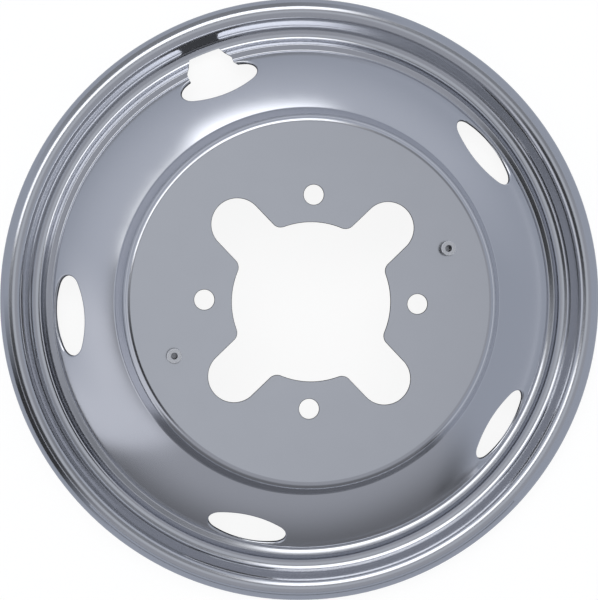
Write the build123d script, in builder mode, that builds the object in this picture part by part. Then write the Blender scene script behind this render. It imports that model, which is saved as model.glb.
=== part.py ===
from build123d import *
import os
from math import asin, degrees

# A pressed stainless wheel cover with two threaded standoffs, lying face up on its rolled lip.

# Sheet and lip
sheet_thickness = 0.9
lip_radius = 240.0
hem_radius = 2.2
hem_turn = 180.0
skirt_height = 8.0
lip_roll_radius = 10.5
lip_roll_turn = 90.0

# Groove between the lip and the ridge
wall_top_radius = 9.5
wall_slope = 58.0
wall_length = 5.3
wall_foot_radius = 9.0
groove_floor_width = 0.6

# Ridge between the groove and the shoulder
ridge_foot_radius = 4.8
ridge_slope = 60.0
ridge_crown_radius = 4.8
ridge_fall_slope = 20.0
ridge_fall_length = 0.6
valley_radius = 1.4

# Shoulder that carries the hand holes
shoulder_radius = 89.8
shoulder_foot_slope = 59.5
shoulder_top_slope = 20.0

# Step up to the flat face
step_foot_radius = 2.0
step_slope = 72.0
step_length = 16.0
face_edge_radius = 7.0

# Hand holes with turned-back edges
hand_hole_count = 5
hand_hole_first_angle = 40.8
hand_hole_foot_gap = 0.4
hand_hole_length = 62.8
hand_hole_width = 33.0
hand_hole_end_radius = 12.0
hand_hole_collar_depth = 2.4
hand_hole_bend_radius = 1.5

# Valve notch that opens one hand hole into the ridge
notch_lead_angle = 0.4
notch_width = 38.0
notch_end_width = 25.0
notch_taper_length = 11.0
notch_corner_radius = 2.5
notch_mouth_radius = 6.0
notch_mouth_clearance = 4.0

# Holes in the flat face
stud_ring_radius = 82.55
stud_hole_radius = 7.75
stud_hole_count = 4
hub_hole_radius = 61.4
nut_slot_radius = 20.0
nut_slot_corner_radius = 8.0
nut_slot_first_angle = 45.0

# Threaded standoffs that hold a hub cap
standoff_count = 2
standoff_ring_radius = 113.5
standoff_first_angle = 22.5
standoff_radius = 5.8
standoff_height = 8.0
standoff_edge_chamfer = 0.4
standoff_shank_radius = 4.0
thread_bore_radius = 2.5
thread_bore_depth = 8.4
thread_mouth_chamfer = 0.6

# Front line of the sheet, from the hem inward to the axis
with BuildSketch(Plane.XZ) as sheet_section:
    with BuildLine() as front_line:
        hem = JernArc((lip_radius - 2 * hem_radius, hem_radius), (0, -1), hem_radius, hem_turn)
        skirt = Line(hem @ 1, hem @ 1 + Vector(0, skirt_height))
        lip_roll = JernArc(skirt @ 1, skirt % 1, lip_roll_radius, lip_roll_turn)
        wall_top = JernArc(lip_roll @ 1, lip_roll % 1, wall_top_radius, wall_slope)
        wall = Line(wall_top @ 1, wall_top @ 1 + (wall_top % 1) * wall_length)
        wall_foot = JernArc(wall @ 1, wall % 1, wall_foot_radius, -wall_slope)
        groove = Line(wall_foot @ 1, wall_foot @ 1 + (wall_foot % 1) * groove_floor_width)
        ridge_foot = JernArc(groove @ 1, groove % 1, ridge_foot_radius, -ridge_slope)
        ridge_crown = JernArc(ridge_foot @ 1, ridge_foot % 1, ridge_crown_radius, ridge_slope + ridge_fall_slope)
        ridge_fall = Line(ridge_crown @ 1, ridge_crown @ 1 + (ridge_crown % 1) * ridge_fall_length)
        valley = JernArc(ridge_fall @ 1, ridge_fall % 1, valley_radius, -(ridge_fall_slope + shoulder_foot_slope))
        shoulder = JernArc(valley @ 1, valley % 1, shoulder_radius, shoulder_foot_slope - shoulder_top_slope)
        step_foot = JernArc(shoulder @ 1, shoulder % 1, step_foot_radius, -(step_slope - shoulder_top_slope))
        step = Line(step_foot @ 1, step_foot @ 1 + (step_foot % 1) * step_length)
        face_edge = JernArc(step @ 1, step % 1, face_edge_radius, step_slope)
        face_height = (face_edge @ 1).Y
        Line(face_edge @ 1, (0, face_height))
        offset(amount=sheet_thickness, side=Side.LEFT)
    make_face()

# Local frame of a hand hole, square to the shoulder and clear of its foot
half_width = hand_hole_width / 2
hole_place = (half_width + hand_hole_bend_radius + hand_hole_foot_gap) / shoulder.length
hole_point = shoulder @ hole_place
hole_along = shoulder % hole_place
hole_plane = Plane(
    origin=(hole_point.X, 0, hole_point.Y),
    x_dir=(0, 1, 0),
    z_dir=(hole_along.Y, 0, -hole_along.X),
)

# Band behind the shoulder, from the middle of the sheet to the end of the turned hole edges
band_width = hand_hole_collar_depth - sheet_thickness / 2
band_depth = sheet_thickness / 2 + band_width / 2
behind_shoulder = (shoulder % 0).rotate(Axis.Z, 90)
with BuildSketch(Plane.XZ) as collar_band:
    with BuildLine():
        JernArc(
            shoulder @ 0 + behind_shoulder * band_depth,
            shoulder % 0,
            shoulder_radius - band_depth,
            shoulder_foot_slope - shoulder_top_slope,
        )
    trace(line_width=band_width)

# Four-arc oval of a hand hole
end_offset = hand_hole_length / 2 - hand_hole_end_radius
hand_hole_side_radius = (end_offset**2 + half_width**2 - hand_hole_end_radius**2) / (
    2 * (half_width - hand_hole_end_radius)
)
side_turn = 2 * degrees(asin(end_offset / (hand_hole_side_radius - hand_hole_end_radius)))
with BuildSketch(hole_plane) as hand_hole_shape:
    with BuildLine():
        near_side = JernArc((0, -half_width), (1, 0), hand_hole_side_radius, side_turn / 2)
        right_end = JernArc(near_side @ 1, near_side % 1, hand_hole_end_radius, 180 - side_turn)
        far_side = JernArc(right_end @ 1, right_end % 1, hand_hole_side_radius, side_turn)
        left_end = JernArc(far_side @ 1, far_side % 1, hand_hole_end_radius, 180 - side_turn)
        JernArc(left_end @ 1, left_end % 1, hand_hole_side_radius, side_turn / 2)
    make_face()

with BuildPart() as hand_hole_collar:
    with BuildSketch(hole_plane):
        offset(hand_hole_shape.sketch_local, amount=sheet_thickness)
    extrude(amount=half_width, both=True)
    revolve(collar_band.sketch, axis=Axis.Z, mode=Mode.INTERSECT)

with BuildPart() as wheel_liner:
    revolve(sheet_section.sketch, axis=Axis.Z)

    # Hand holes, each with its edge turned back behind the sheet
    with PolarLocations(0, hand_hole_count, start_angle=hand_hole_first_angle):
        add(hand_hole_collar.part)
    shoulder_back = wheel_liner.faces().filter_by(GeomType.TORUS).sort_by(SortBy.AREA)[-2]
    collar_edges = [edge for wire in shoulder_back.inner_wires() for edge in wire.edges()]
    fillet(collar_edges, hand_hole_bend_radius - sheet_thickness)
    with BuildPart(mode=Mode.PRIVATE) as hand_hole_cut:
        extrude(hand_hole_shape.sketch, amount=half_width, both=True)
    with PolarLocations(0, hand_hole_count, start_angle=hand_hole_first_angle):
        add(hand_hole_cut.part, mode=Mode.SUBTRACT)
    shoulder_front = wheel_liner.faces().filter_by(GeomType.TORUS).sort_by(SortBy.AREA)[-1]
    hole_edges = [edge for wire in shoulder_front.inner_wires() for edge in wire.edges()]
    fillet(hole_edges, hand_hole_bend_radius)

    # Valve notch from one hand hole out through the ridge to the groove
    notch_angle = hand_hole_first_angle + 360 / hand_hole_count + notch_lead_angle
    notch_end_radius = (groove @ 0).X
    notch_taper_radius = notch_end_radius - notch_taper_length
    notch_mouth_end = hole_point.X + notch_mouth_clearance
    notch_mouth_side = notch_width / 2 + notch_mouth_radius
    with BuildSketch(Plane.XY.rotated((0, 0, notch_angle))):
        with BuildLine():
            Polyline(
                (hole_point.X, -notch_mouth_side),
                (notch_mouth_end, -notch_mouth_side),
                (notch_mouth_end, -notch_width / 2),
                (notch_taper_radius, -notch_width / 2),
                (notch_end_radius, -notch_end_width / 2),
                (notch_end_radius, notch_end_width / 2),
                (notch_taper_radius, notch_width / 2),
                (hole_point.X, notch_width / 2),
                close=True,
            )
        make_face()
        fillet(vertices().group_by(Axis.X)[-1], notch_corner_radius)
        fillet(vertices().group_by(Axis.X)[1].sort_by(Axis.Y)[-1], notch_mouth_radius)
    extrude(amount=face_height, mode=Mode.SUBTRACT)

    # Hub hole with four nut slots, and the stud holes between them
    with BuildSketch(Plane.XY.offset(face_height)):
        Circle(hub_hole_radius)
        with PolarLocations(stud_ring_radius, stud_hole_count, start_angle=nut_slot_first_angle):
            Circle(nut_slot_radius)
            Rectangle(stud_ring_radius, 2 * nut_slot_radius, align=(Align.MAX, Align.CENTER))
        fillet(vertices().group_by(SortBy.DISTANCE)[0], nut_slot_corner_radius)
        with PolarLocations(stud_ring_radius, stud_hole_count):
            Circle(stud_hole_radius)
        with PolarLocations(standoff_ring_radius, standoff_count, start_angle=standoff_first_angle):
            Circle(standoff_shank_radius)
    extrude(amount=-face_edge_radius, mode=Mode.SUBTRACT)

# One standoff, seated on the front of the sheet, with its shank pressed flush through it
with BuildPart() as standoff:
    with BuildSketch(Plane.XZ):
        with BuildLine():
            Polyline(
                (0, -sheet_thickness),
                (standoff_shank_radius, -sheet_thickness),
                (standoff_shank_radius, 0),
                (standoff_radius, 0),
                (standoff_radius, standoff_height),
                (thread_bore_radius, standoff_height),
                (thread_bore_radius, standoff_height - thread_bore_depth),
                (0, standoff_height - thread_bore_depth),
                close=True,
            )
        make_face()
    revolve(axis=Axis.Z)
    top_edges = standoff.edges().group_by(Axis.Z)[-1].sort_by(SortBy.RADIUS)
    chamfer(top_edges[0], thread_mouth_chamfer)
    chamfer(top_edges[-1], standoff_edge_chamfer)

with BuildPart() as cap_standoffs:
    with Locations((0, 0, face_height)):
        with PolarLocations(standoff_ring_radius, standoff_count, start_angle=standoff_first_angle):
            add(standoff.part)

os.makedirs("parts", exist_ok=True)
wheel_liner.part.label = "wheel_liner"
export_step(wheel_liner.part, "parts/wheel_liner.step")
cap_standoffs.part.label = "cap_standoffs"
export_step(cap_standoffs.part, "parts/cap_standoffs.step")
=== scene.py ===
from functools import partial
from math import asin, atan2, ceil, cos, degrees, pi, radians, sin, sqrt, tan

import bmesh
import bpy
import numpy as np
from bpy.props import FloatProperty, FloatVectorProperty, IntProperty, PointerProperty
from mathutils import Matrix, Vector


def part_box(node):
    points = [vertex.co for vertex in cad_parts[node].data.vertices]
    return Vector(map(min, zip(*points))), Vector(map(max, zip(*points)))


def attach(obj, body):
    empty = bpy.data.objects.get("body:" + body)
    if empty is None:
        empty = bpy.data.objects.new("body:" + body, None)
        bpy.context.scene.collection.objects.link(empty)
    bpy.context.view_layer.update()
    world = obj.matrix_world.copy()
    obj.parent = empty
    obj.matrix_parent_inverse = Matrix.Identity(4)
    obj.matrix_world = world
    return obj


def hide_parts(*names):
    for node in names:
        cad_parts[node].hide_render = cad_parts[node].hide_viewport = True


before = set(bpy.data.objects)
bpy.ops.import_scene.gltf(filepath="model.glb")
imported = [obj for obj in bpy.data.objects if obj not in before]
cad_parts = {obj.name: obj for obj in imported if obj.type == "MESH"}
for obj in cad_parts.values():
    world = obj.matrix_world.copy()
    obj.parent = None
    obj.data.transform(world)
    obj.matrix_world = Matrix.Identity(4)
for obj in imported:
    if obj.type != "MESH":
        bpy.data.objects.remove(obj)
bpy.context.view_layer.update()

bl_info = {
    "name": "Truck wheel cover",
    "version": (1, 0, 0),
    "blender": (4, 5, 0),
    "location": "View3D > Sidebar > Wheel Cover",
    "description": "Builds a polished stainless wheel cover with its cap standoffs and a plain studio",
    "category": "Object",
}

MM = 0.001
FACE_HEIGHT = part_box("wheel_liner")[1].z
LIP_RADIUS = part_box("wheel_liner")[1].x
STANDOFF_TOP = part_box("cap_standoffs")[1].z

# Faces of the liner by where they lie on the sheet
FRONT, BACK, CUT = 0, 1, 2

# Points this close count as one, and sectors are welded over the second distance
TOUCH = 0.001 * MM
WELD_DISTANCE = 0.002 * MM
# A point this near a sector's side, in radians, lies on it
SEAM_ANGLE = 1e-6
# Rounds of the searches that close in on a place of a hole or of the notch
ROUNDS = 40
# Edges of the standoffs that turn by more stay sharp
SHARP_ANGLE = radians(30)
# Room between cards that meet
GAP = 1 * MM

# Kinds of node that come up often
MATH = "ShaderNodeMath"
MAP_RANGE = "ShaderNodeMapRange"
MIX = "ShaderNodeMix"
NOISE = "ShaderNodeTexNoise"
SET_MATERIAL = "GeometryNodeSetMaterial"


def length(label, millimetres, what):
    """A length property, given in millimetres."""
    return FloatProperty(name=label, description=what, default=millimetres * MM, unit="LENGTH", precision=4)


def angle(label, turn, what):
    """An angle property, given in degrees."""
    return FloatProperty(name=label, description=what, default=radians(turn), unit="ROTATION")


def linear(hex_colour):
    """Linear colour of an sRGB hex value."""
    parts = [int(hex_colour[i : i + 2], 16) / 255 for i in (1, 3, 5)]
    return [c / 12.92 if c <= 0.04045 else ((c + 0.055) / 1.055) ** 2.4 for c in parts]


def colour(label, hex_colour, what):
    """A colour property, given as an sRGB hex value."""
    return FloatVectorProperty(
        name=label, description=what, default=linear(hex_colour), subtype="COLOR", size=3, min=0, max=1
    )


class SheetSizes(bpy.types.PropertyGroup):
    """Section of the pressed sheet, from the hem inward to the flat face."""

    thickness: length("Thickness", 0.9, "Thickness of the stainless sheet")
    lip_radius: length("Lip radius", LIP_RADIUS / MM, "Widest radius of the cover")
    hem_radius: length("Hem radius", 2.2, "Radius of the edge turned in behind the lip")
    skirt_height: length("Skirt height", 8.0, "Straight side of the lip over the hem")
    lip_roll_radius: length("Lip roll radius", 10.5, "Radius of the outer side of the lip")
    wall_top_radius: length("Wall top radius", 9.5, "Radius of the inner side of the lip")
    wall_slope: angle("Wall slope", 58.0, "Slope of the wall between the lip and the groove")
    wall_length: length("Wall length", 5.3, "Straight part of that wall")
    wall_foot_radius: length("Wall foot radius", 9.0, "Radius at the foot of that wall")
    groove_width: length("Groove floor width", 0.6, "Flat floor of the groove")
    ridge_radius: length("Ridge radius", 4.8, "Radius at the foot and over the crown of the ridge")
    ridge_slope: angle("Ridge slope", 60.0, "Slope of the ridge towards the groove")
    ridge_fall_slope: angle("Ridge fall slope", 20.0, "Slope of the ridge towards the valley")
    ridge_fall_length: length("Ridge fall length", 0.6, "Straight part of that slope")
    valley_radius: length("Valley radius", 1.4, "Radius of the valley at the foot of the shoulder")
    shoulder_radius: length("Shoulder radius", 89.8, "Radius of the shoulder's section")
    shoulder_foot_slope: angle("Shoulder foot slope", 59.5, "Slope at the foot of the shoulder")
    shoulder_top_slope: angle("Shoulder top slope", 20.0, "Slope at the top of the shoulder")
    shoulder_ease_slope: angle("Foot shading slope", 34.5, "Slope of the shading over the shoulder's foot")
    shoulder_ease_length: length("Foot shading run", 2.6, "How far over the foot it reaches that slope")
    step_foot_radius: length("Step foot radius", 2.0, "Radius at the foot of the step")
    step_slope: angle("Step slope", 72.0, "Slope of the step up to the flat face")
    step_length: length("Step length", 16.0, "Straight part of the step")
    face_edge_radius: length("Face edge radius", 7.0, "Radius at the edge of the flat face")


class OpeningSizes(bpy.types.PropertyGroup):
    """Hand holes, valve notch and the holes of the flat face."""

    hand_hole_count: IntProperty(name="Hand holes", description="Number of hand holes", default=5)
    hand_hole_first: angle("First hand hole", 40.8, "Angle of the first hand hole")
    hand_hole_length: length("Hand hole length", 62.8, "Length of a hand hole round the wheel")
    hand_hole_width: length("Hand hole width", 33.0, "Width of a hand hole across the shoulder")
    hand_hole_end_radius: length("Hand hole end radius", 12.0, "Radius of a hand hole's two ends")
    hand_hole_collar: length("Turned edge depth", 2.4, "Depth of the edge turned back behind the sheet")
    hand_hole_bend: length("Turned edge bend", 1.5, "Radius of the bend into the turned edge")
    hand_hole_gap: length("Foot gap", 0.4, "Room between the bend and the foot of the shoulder")
    notch_index: IntProperty(name="Notched hole", description="Hand hole that the notch opens", default=1)
    notch_lead: angle("Notch lead", 0.4, "Turn of the notch from the middle of its hand hole")
    notch_width: length("Notch width", 38.0, "Width of the notch at its hand hole")
    notch_end_width: length("Notch end width", 25.0, "Width of the notch at the groove")
    notch_taper: length("Notch taper", 11.0, "Length over which the notch narrows")
    notch_corner: length("Notch corner", 2.5, "Radius of the notch's end corners")
    notch_mouth: length("Notch mouth", 6.0, "Radius of the notch's one rounded corner at its hand hole")
    notch_mouth_gap: length("Notch mouth gap", 4.0, "From the middle of the hand hole out to that rounding")
    stud_ring_radius: length("Stud ring radius", 82.55, "Radius of the ring of studs")
    stud_hole_radius: length("Stud hole radius", 7.75, "Radius of a stud hole")
    hub_radius: length("Hub radius", 61.4, "Radius of the hub opening")
    slot_radius: length("Nut slot radius", 20.0, "Radius of a nut slot's end")
    slot_corner: length("Nut slot corner", 8.0, "Radius between the hub opening and a nut slot")
    edge_round: length("Punched edge round", 0.35, "Rolled-over edge that a punch leaves on the front")


class StandoffSizes(bpy.types.PropertyGroup):
    """Threaded standoffs on the flat face."""

    count: IntProperty(name="Count", description="Number of standoffs", default=2)
    ring_radius: length("Ring radius", 113.5, "Radius of the ring that they stand on")
    first: angle("First angle", 22.5, "Angle of the first standoff")
    radius: length("Radius", 5.8, "Outer radius")
    edge: length("Edge", 0.4, "Chamfer of the outer edge")
    shank_radius: length("Shank radius", 4.0, "Radius of the shank in the sheet")
    bore_radius: length("Bore radius", 2.5, "Inner radius of the thread")
    bore_depth: length("Bore depth", 8.4, "Depth of the threaded hole")
    pitch: length("Thread pitch", 1.0, "Rise of the thread in one turn")
    thread_depth: length("Thread depth", 0.5, "Depth of the thread in the wall")


class FinishColours(bpy.types.PropertyGroup):
    """Colours of the metal finishes, and of the painted shade on the standoffs."""

    polished: colour("Polished", "#D2D4DA", "Mirror-polished stainless steel")
    mill: colour("Mill finish", "#B4B5B8", "Unpolished back of the sheet")
    sheared: colour("Sheared edge", "#8F9094", "Cut edges of the sheet")
    zinc: colour("Zinc", "#E4E5E8", "Zinc plate on the standoffs")
    # Painted shade: darker tint on the standoffs' sides below their tops
    paste: colour("Polishing paste", "#5A5B5E", "Paste left round the barrels of the standoffs")
    # Painted shade down the bores of the standoffs, darker than the zinc
    thread: colour("Thread", "#A4A5A8", "Oiled steel in the bores of the standoffs")


class StudioSettings(bpy.types.PropertyGroup):
    """Camera, floor and light around the cover."""

    camera_place: FloatVectorProperty(
        name="Camera place",
        description="Where the camera stands",
        default=(-0.1812, 0.0336, 1.7697),
        unit="LENGTH",
    )
    camera_turn: FloatVectorProperty(
        name="Camera turn",
        description="Turn of the view about X, Y and Z",
        default=(radians(1.092), radians(5.772), radians(-1.159)),
        subtype="EULER",
    )
    focal_length: FloatProperty(name="Focal length", description="Lens on a 36 mm sensor", default=133.44)
    floor_white: colour("Floor", "#F4F4F2", "Matt white board under the cover")
    ceiling: colour("Ceiling", "#C6C9CE", "Grey ceiling over the cover")
    upper_grey: colour("Upper walls", "#A9ABB1", "Upper part of the walls")
    upper_shade: colour("Upper shade", "#8A8C90", "Shaded upper part of the walls beside the window")
    wall_light: colour("Middle walls", "#C3C7D0", "Middle part of the walls below the window")
    wall_grey: colour("Walls", "#ABB0BA", "Lower part of the walls")
    wall_pale: colour("Pale wall", "#DDDFE6", "Lit part of the walls")
    wall_dark: colour("Dark wall", "#75767A", "Dark part of the walls")
    drape: colour("Drape", "#393A3B", "Dark drape beside the camera")
    # Painted shade: a dark card under the cover that only the metal's reflections see
    hollow: colour("Hollow card", "#47484A", "Dark card in the hollow under the cover")
    window_level: FloatProperty(name="Window level", description="Light of the window", default=1.75, min=0)
    floor_width: length("Floor width", 8000.0, "Width of the white board")
    card_radius: length("Card radius", 246.0, "Inner radius of the reflector card round the cover")
    card_waist: length("Card waist", 19.0, "Height at which the dark drape on its upright part starts")
    card_sill: length("Card sill", 23.0, "Height at which its upright part is open at the near end")
    card_rise: length("Card rise", 34.0, "Height of its upright part")
    card_outer_radius: length("Card outer radius", 420.0, "Radius of its flared rim")
    card_height: length("Card height", 85.0, "Height of its flared rim")
    card_lip_radius: length("Card lip radius", 285.0, "Radius of the lip over its opening")
    card_lip_rise: length("Card lip rise", 11.0, "Rise of that lip")
    ground_radius: length("Ground radius", 900.0, "Radius of the dark ground outside its opening")
    ground_rise: length("Ground rise", 250.0, "Height of the card at the end of that ground")
    # Sizes of that card of painted shade under the cover
    hollow_radius: length("Hollow card radius", 225.0, "Radius of the dark card under the cover")
    hollow_bore: length("Hollow card bore", 20.0, "Inner radius of that card")
    hollow_height: length("Hollow card height", 1.5, "Height of that card over the floor")


class WheelCoverSettings(bpy.types.PropertyGroup):
    """All settings of the wheel cover scene."""

    sheet: PointerProperty(type=SheetSizes)
    openings: PointerProperty(type=OpeningSizes)
    standoffs: PointerProperty(type=StandoffSizes)
    finish: PointerProperty(type=FinishColours)
    studio: PointerProperty(type=StudioSettings)


def own_names(group):
    """Names of a group's own properties."""
    return [name for name in group.bl_rna.properties.keys() if name not in {"rna_type", "name"}]


def add_node(tree, kind, links=(), **settings):
    """One node with its settings; links gives nodes, sockets or values to its inputs, in order or by name."""
    node = tree.nodes.new(kind)
    for name, value in settings.items():
        setattr(node, name, value)
    for key, value in links.items() if isinstance(links, dict) else enumerate(links):
        if isinstance(value, bpy.types.Node):
            value = value.outputs[0]
        if isinstance(value, bpy.types.NodeSocket):
            tree.links.new(value, node.inputs[key])
        else:
            node.inputs[key].default_value = value
    return node


class FrontLine:
    """Front line of the sheet as rows from the hem to the edge of the flat face."""

    row_turn = radians(6.5)

    def __init__(self, sheet):
        self.at = np.array([sheet.lip_radius - 2 * sheet.hem_radius, sheet.hem_radius])
        self.along = np.array([0.0, -1.0])
        self.points = [self.at]
        self.normals = [self.right()]
        self.starts = {}
        shoulder_turn = sheet.shoulder_foot_slope - sheet.shoulder_top_slope
        self.arc("hem", sheet.hem_radius, pi, rows=12)
        self.line("skirt", sheet.skirt_height)
        self.arc("lip_roll", sheet.lip_roll_radius, pi / 2)
        self.arc("wall_top", sheet.wall_top_radius, sheet.wall_slope)
        self.line("wall", sheet.wall_length)
        self.arc("wall_foot", sheet.wall_foot_radius, -sheet.wall_slope)
        self.line("groove", sheet.groove_width)
        self.arc("ridge_foot", sheet.ridge_radius, -sheet.ridge_slope)
        self.arc("ridge_crown", sheet.ridge_radius, sheet.ridge_slope + sheet.ridge_fall_slope)
        self.line("ridge_fall", sheet.ridge_fall_length)
        self.arc("valley", sheet.valley_radius, -(sheet.ridge_fall_slope + sheet.shoulder_foot_slope))
        self.arc("shoulder", sheet.shoulder_radius, shoulder_turn, rows=24)
        self.arc("step_foot", sheet.step_foot_radius, sheet.shoulder_top_slope - sheet.step_slope)
        self.line("step", sheet.step_length)
        self.arc("face_edge", sheet.face_edge_radius, sheet.step_slope)
        self.points = np.array(self.points)
        self.normals = np.array(self.normals)

    def right(self):
        """Front side of the line, which runs inward with the back on its left."""
        return np.array([self.along[1], -self.along[0]])

    def add_row(self):
        self.points.append(self.at)
        self.normals.append(self.right())

    def line(self, name, run):
        self.starts[name] = len(self.points) - 1
        self.at = self.at + self.along * run
        self.add_row()

    def arc(self, name, radius, turn, rows=None):
        self.starts[name] = len(self.points) - 1
        rows = rows or ceil(abs(turn) / self.row_turn)
        side = np.sign(turn)
        centre = self.at - side * radius * self.right()
        spoke, heading = self.at - centre, self.along
        for step in range(1, rows + 1):
            c, s = cos(turn * step / rows), sin(turn * step / rows)
            spin = np.array([[c, -s], [s, c]])
            self.at = centre + spin @ spoke
            self.along = spin @ heading
            self.add_row()


class Skin:
    """One side of a sheet as points with their normals, and quads between them."""

    def __init__(self):
        self.points = []
        self.normals = []
        self.quads = []

    def add_grid(self, points, normals):
        """A grid of points given as an array of rows by columns by three."""
        first = len(self.points)
        rows, columns = points.shape[:2]
        self.points.extend(points.reshape(-1, 3))
        self.normals.extend(normals.reshape(-1, 3))
        for r in range(rows - 1):
            for c in range(columns - 1):
                corner = first + r * columns + c
                self.quads.append((corner, corner + 1, corner + columns + 1, corner + columns))

    def merged(self):
        """Points, normals and quads with points that coincide made one."""
        points = np.array(self.points)
        keys = np.round(points / TOUCH).astype(np.int64)
        unique, first, place = np.unique(keys, axis=0, return_index=True, return_inverse=True)
        quads = place.reshape(-1)[np.array(self.quads)]
        return points[first], np.array(self.normals)[first], quads


def turned(radius, height, azimuth):
    """Points at a radius, height and azimuth about the wheel axis."""
    radius, height, azimuth = np.broadcast_arrays(radius, height, azimuth)
    return np.stack([radius * np.cos(azimuth), radius * np.sin(azimuth), height], axis=-1)


def turned_parts(points, vectors, way):
    """Vectors turned about the wheel axis by the azimuths of their points, forward (1) or back (-1)."""
    azimuth = way * np.arctan2(points[:, 1], points[:, 0])
    c, s = np.cos(azimuth), np.sin(azimuth)
    x, y, z = vectors.T
    return np.stack([x * c - y * s, x * s + y * c, z], axis=-1)


class HandHole:
    """A hand hole square to the shoulder, in a sector whose middle lies on the X axis."""

    rows = 9
    heading_steps = 6000

    def __init__(self, sheet, openings, line):
        foot = line.starts["shoulder"]
        self.radius = sheet.shoulder_radius
        self.foot_slope = sheet.shoulder_foot_slope
        self.centre = line.points[foot] - self.radius * line.normals[foot]
        self.bend = openings.hand_hole_bend
        self.collar = openings.hand_hole_collar
        self.half_length = openings.hand_hole_length / 2
        self.half_width = openings.hand_hole_width / 2
        self.end_radius = openings.hand_hole_end_radius
        self.middle = self.half_width + self.bend + openings.hand_hole_gap
        slope = self.slope(self.middle)
        self.across = np.array([0.0, 1.0, 0.0])
        self.up = np.array([-cos(slope), 0.0, sin(slope)])
        self.out = np.array([sin(slope), 0.0, cos(slope)])
        self.origin = turned(*self.on_shoulder(self.middle), 0.0)
        offset = self.half_length - self.end_radius
        rest = self.half_width - self.end_radius
        self.end_offset = offset
        self.side_radius = (offset**2 + self.half_width**2 - self.end_radius**2) / (2 * rest)
        self.side_half_turn = asin(offset / (self.side_radius - self.end_radius))

    def slope(self, distance):
        return self.foot_slope - distance / self.radius

    def on_shoulder(self, distance):
        """Radius and height of the shoulder at a distance from its foot."""
        slope = self.slope(distance)
        return self.centre[0] + self.radius * np.sin(slope), self.centre[1] + self.radius * np.cos(slope)

    def surface(self, distance, azimuth):
        """Points and normals of the shoulder."""
        slope = self.slope(distance)
        points = turned(*self.on_shoulder(distance), azimuth)
        return points, turned(np.sin(slope), np.cos(slope), azimuth)

    def oval(self, heading):
        """Points of the four-arc oval whose outward normal has these headings."""
        x, y = np.cos(heading), np.sin(heading)
        on_end = np.abs(y) < cos(self.side_half_turn)
        reach = np.where(on_end, self.end_radius, self.side_radius)
        side_drop = self.side_radius - self.half_width
        middle_x = np.where(on_end, np.sign(x) * self.end_offset, 0.0)
        middle_y = np.where(on_end, 0.0, -np.sign(y) * side_drop)
        return middle_x + reach * x, middle_y + reach * y

    def at_depth(self, x, y, depth):
        """Points over places of the hole's plane that lie at a depth under the front of the shoulder."""
        base = self.origin + x[:, None] * self.across + y[:, None] * self.up
        low = np.full(len(x), -self.half_width)
        high = np.full(len(x), self.half_width)
        for _ in range(ROUNDS):
            middle = (low + high) / 2
            point = base + middle[:, None] * self.out
            out, up = np.hypot(point[:, 0], point[:, 1]), point[:, 2]
            deep = np.hypot(out - self.centre[0], up - self.centre[1]) < self.radius - depth
            low = np.where(deep, middle, low)
            high = np.where(deep, high, middle)
        return base + ((low + high) / 2)[:, None] * self.out

    def turned_edge(self, heading):
        """Rows of points and normals from the shoulder over the bend to the end of the turned edge."""
        outward = np.cos(heading)[:, None] * self.across + np.sin(heading)[:, None] * self.up
        x, y = self.oval(heading)
        middle = self.at_depth(x + self.bend * np.cos(heading), y + self.bend * np.sin(heading), self.bend)
        azimuth = np.arctan2(middle[:, 1], middle[:, 0])
        spoke = np.stack([np.hypot(middle[:, 0], middle[:, 1]), middle[:, 2]], -1) - self.centre
        spoke /= np.linalg.norm(spoke, axis=1)[:, None]
        start = turned(spoke[:, 0], spoke[:, 1], azimuth)
        turn = np.arccos(np.clip((start * -outward).sum(1), -1, 1))
        points, normals = [], []
        for share in np.linspace(0, 1, self.rows - 1):
            normal = (np.sin((1 - share) * turn) / np.sin(turn))[:, None] * start
            normal = normal - (np.sin(share * turn) / np.sin(turn))[:, None] * outward
            points.append(middle + self.bend * normal)
            normals.append(normal)
        points.append(self.at_depth(x, y, self.collar))
        normals.append(-outward)
        distance = (self.foot_slope - np.arctan2(spoke[:, 0], spoke[:, 1])) * self.radius
        return np.array(points), np.array(normals), distance, azimuth

    def heading_at(self, bearing):
        """Headings of the oval at bearings from its middle, with the oval stretched to a unit size."""
        heading = np.linspace(-1.5 * pi, 1.5 * pi, self.heading_steps + 1)
        middle = self.heading_steps // 2
        x, y = self.oval(heading)
        bearings = np.unwrap(np.arctan2(y / self.half_width, x / self.half_length))
        bearings += 2 * pi * round((heading[middle] - bearings[middle]) / (2 * pi))
        return np.interp(bearing, bearings, heading)


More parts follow.
